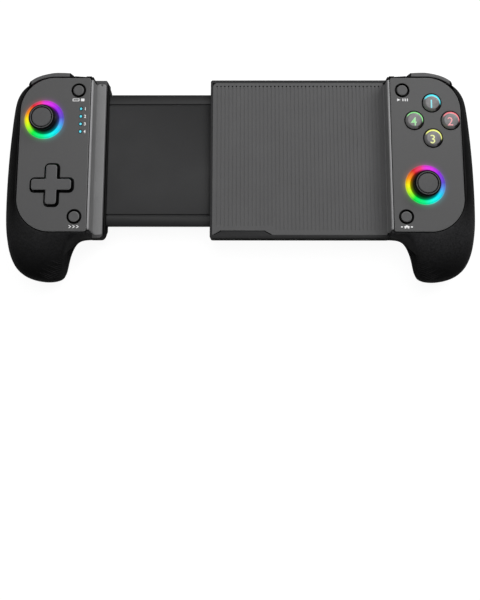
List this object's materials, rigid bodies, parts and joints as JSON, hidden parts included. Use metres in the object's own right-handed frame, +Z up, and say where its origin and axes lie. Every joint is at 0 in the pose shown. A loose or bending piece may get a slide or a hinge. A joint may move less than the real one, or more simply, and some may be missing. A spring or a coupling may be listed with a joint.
{
  "type": "gamepad",
  "caption": "Telescopic handheld gamepad with two grip units, thumbsticks, cross pad, face and shoulder buttons, and a sliding ribbed tray that clamps a phone between them.",
  "frame": {"origin": "on the resting plane, at the middle of the outline in X and Y, with the slide opened as drawn", "axes": "+X from the left unit to the right unit along the slide, +Y away from the player, +Z up out of the control face"},
  "size_m": [0.2612, 0.1164, 0.0383],
  "materials": {
    "face_charcoal": "soft-touch satin charcoal",
    "shell_black": "fine textured black grip plastic",
    "tray_dark": "fine matt dark grey",
    "slide_dark": "smooth satin dark grey",
    "pad_rubber": "ribbed matt grey rubber",
    "liner_rubber": "plain matt grey rubber",
    "collar_black": "matt black",
    "bumper_grey": "satin dark grey",
    "trigger_black": "satin black",
    "button_grey": "satin grey",
    "stick_rubber": "matt dark rubber",
    "glow_ring": "milky light guide, lit in changing hues",
    "glow_cyan": "clear light pipe, lit cyan",
    "dome_cyan": "clear gloss dome over a dark core",
    "dome_green": "clear gloss dome over a dark core",
    "dome_red": "clear gloss dome over a dark core",
    "dome_yellow": "clear gloss dome over a dark core",
    "steel": "plain steel",
    "circuit_green": "solder-masked laminate",
    "silicone": "translucent silicone",
    "slide_pom": "waxy white low-friction plastic",
    "cell_wrap": "foil pouch"
  },
  "bodies": {
    "right_unit": {"tray_shell": "tray_dark", "tray_bottom_cover": "tray_dark", "tray_screws": "steel", "tongue_screws": "steel", "ribbed_phone_pad": "pad_rubber", "slide_guide_strips": "slide_pom", "slide_brake_springs": "steel", "charging_port": "steel", "right_wall_liner": "liner_rubber", "right_face_plate": "face_charcoal", "right_back_shell": "shell_black", "right_circuit_board": "circuit_green", "right_press_switches": "steel", "right_stick_housing": "steel", "right_light_ring": "glow_ring", "face_button_mat": "silicone", "right_shoulder_pins": "steel", "right_shell_screws": "steel"},
    "left_unit": {"sliding_plate": "slide_dark", "plate_screws": "steel", "ledge_block": "tray_dark", "clamp_pad": "liner_rubber", "slide_collar": "collar_black", "left_wall_liner": "liner_rubber", "left_face_plate": "face_charcoal", "left_back_shell": "shell_black", "left_circuit_board": "circuit_green", "left_press_switches": "steel", "battery": "cell_wrap", "left_stick_housing": "steel", "left_light_ring": "glow_ring", "dpad_bracket": "slide_pom", "dpad_mat": "silicone", "indicator_lights": "glow_cyan", "left_shoulder_pins": "steel", "left_shell_screws": "steel"},
    "left_stick_gimbal": {"left_stick_gimbal": "slide_pom"},
    "left_stick_rocker": {"left_stick_rocker": "slide_pom"},
    "left_stick_cap": {"left_stick_cap": "stick_rubber"},
    "right_stick_gimbal": {"right_stick_gimbal": "slide_pom"},
    "right_stick_rocker": {"right_stick_rocker": "slide_pom"},
    "right_stick_cap": {"right_stick_cap": "stick_rubber"},
    "dpad_pivot": {"dpad_pivot": "slide_pom"},
    "dpad": {"dpad": "button_grey"},
    "select_button": {"select_button": "button_grey"},
    "turbo_button": {"turbo_button": "button_grey"},
    "start_button": {"start_button": "button_grey"},
    "home_button": {"home_button": "button_grey"},
    "top_face_button": {"top_face_button": "dome_cyan"},
    "left_face_button": {"left_face_button": "dome_green"},
    "right_face_button": {"right_face_button": "dome_red"},
    "bottom_face_button": {"bottom_face_button": "dome_yellow"},
    "left_bumper": {"left_bumper": "bumper_grey"},
    "left_trigger": {"left_trigger": "trigger_black"},
    "right_bumper": {"right_bumper": "bumper_grey"},
    "right_trigger": {"right_trigger": "trigger_black"}
  },
  "joints": [
    {"name": "phone_width_slide", "type": "slide", "parent": "right_unit", "child": "left_unit", "axis": [1, 0, 0], "range_m": [-0.015, 0.0572]},
    {"name": "left_stick_left_right", "type": "hinge", "parent": "left_unit", "child": "left_stick_gimbal", "pos_m": [-0.1086, 0.0306, 0.0235], "axis": [0, 1, 0], "range_deg": [-16, 16], "stiffness_Nm_per_rad": 0.03},
    {"name": "left_stick_up_down", "type": "hinge", "parent": "left_stick_gimbal", "child": "left_stick_rocker", "pos_m": [-0.1086, 0.0306, 0.0235], "axis": [1, 0, 0], "range_deg": [-16, 16], "stiffness_Nm_per_rad": 0.03},
    {"name": "left_stick_press", "type": "slide", "parent": "left_stick_rocker", "child": "left_stick_cap", "axis": [0, 0, -1], "range_m": [0, 0.0005], "stiffness_N_per_m": 1200, "springref_m": -0.0002},
    {"name": "right_stick_left_right", "type": "hinge", "parent": "right_unit", "child": "right_stick_gimbal", "pos_m": [0.101, -0.006, 0.0235], "axis": [0, 1, 0], "range_deg": [-16, 16], "stiffness_Nm_per_rad": 0.03},
    {"name": "right_stick_up_down", "type": "hinge", "parent": "right_stick_gimbal", "child": "right_stick_rocker", "pos_m": [0.101, -0.006, 0.0235], "axis": [1, 0, 0], "range_deg": [-16, 16], "stiffness_Nm_per_rad": 0.03},
    {"name": "right_stick_press", "type": "slide", "parent": "right_stick_rocker", "child": "right_stick_cap", "axis": [0, 0, -1], "range_m": [0, 0.0005], "stiffness_N_per_m": 1200, "springref_m": -0.0002},
    {"name": "dpad_left_right", "type": "hinge", "parent": "left_unit", "child": "dpad_pivot", "pos_m": [-0.1029, -0.0062, 0.0265], "axis": [0, 1, 0], "range_deg": [-5, 5], "stiffness_Nm_per_rad": 0.12},
    {"name": "dpad_up_down", "type": "hinge", "parent": "dpad_pivot", "child": "dpad", "pos_m": [-0.1029, -0.0062, 0.0265], "axis": [1, 0, 0], "range_deg": [-5, 5], "stiffness_Nm_per_rad": 0.12},
    {"name": "select_press", "type": "slide", "parent": "left_unit", "child": "select_button", "axis": [0, 0, -1], "range_m": [0, 0.0008], "stiffness_N_per_m": 600, "springref_m": -0.0002},
    {"name": "turbo_press", "type": "slide", "parent": "left_unit", "child": "turbo_button", "axis": [0, 0, -1], "range_m": [0, 0.0008], "stiffness_N_per_m": 600, "springref_m": -0.0002},
    {"name": "start_press", "type": "slide", "parent": "right_unit", "child": "start_button", "axis": [0, 0, -1], "range_m": [0, 0.0008], "stiffness_N_per_m": 600, "springref_m": -0.0002},
    {"name": "home_press", "type": "slide", "parent": "right_unit", "child": "home_button", "axis": [0, 0, -1], "range_m": [0, 0.0008], "stiffness_N_per_m": 600, "springref_m": -0.0002},
    {"name": "top_face_press", "type": "slide", "parent": "right_unit", "child": "top_face_button", "axis": [0, 0, -1], "range_m": [0, 0.0012], "stiffness_N_per_m": 600, "springref_m": -0.0002},
    {"name": "left_face_press", "type": "slide", "parent": "right_unit", "child": "left_face_button", "axis": [0, 0, -1], "range_m": [0, 0.0012], "stiffness_N_per_m": 600, "springref_m": -0.0002},
    {"name": "right_face_press", "type": "slide", "parent": "right_unit", "child": "right_face_button", "axis": [0, 0, -1], "range_m": [0, 0.0012], "stiffness_N_per_m": 600, "springref_m": -0.0002},
    {"name": "bottom_face_press", "type": "slide", "parent": "right_unit", "child": "bottom_face_button", "axis": [0, 0, -1], "range_m": [0, 0.0012], "stiffness_N_per_m": 600, "springref_m": -0.0002},
    {"name": "left_bumper_press", "type": "hinge", "parent": "left_unit", "child": "left_bumper", "pos_m": [-0.10625, 0.0496, 0.0216], "axis": [1, 0, 0], "range_deg": [0, 3.5], "stiffness_Nm_per_rad": 0.3, "springref_deg": -1.15},
    {"name": "left_trigger_pull", "type": "hinge", "parent": "left_unit", "child": "left_trigger", "pos_m": [-0.10625, 0.0484, 0.0156], "axis": [-1, 0, 0], "range_deg": [0, 13], "stiffness_Nm_per_rad": 0.1, "springref_deg": -5.73},
    {"name": "right_bumper_press", "type": "hinge", "parent": "right_unit", "child": "right_bumper", "pos_m": [0.10625, 0.0496, 0.0216], "axis": [1, 0, 0], "range_deg": [0, 3.5], "stiffness_Nm_per_rad": 0.3, "springref_deg": -1.15},
    {"name": "right_trigger_pull", "type": "hinge", "parent": "right_unit", "child": "right_trigger", "pos_m": [0.10625, 0.0484, 0.0156], "axis": [-1, 0, 0], "range_deg": [0, 13], "stiffness_Nm_per_rad": 0.1, "springref_deg": -5.73}
  ]
}
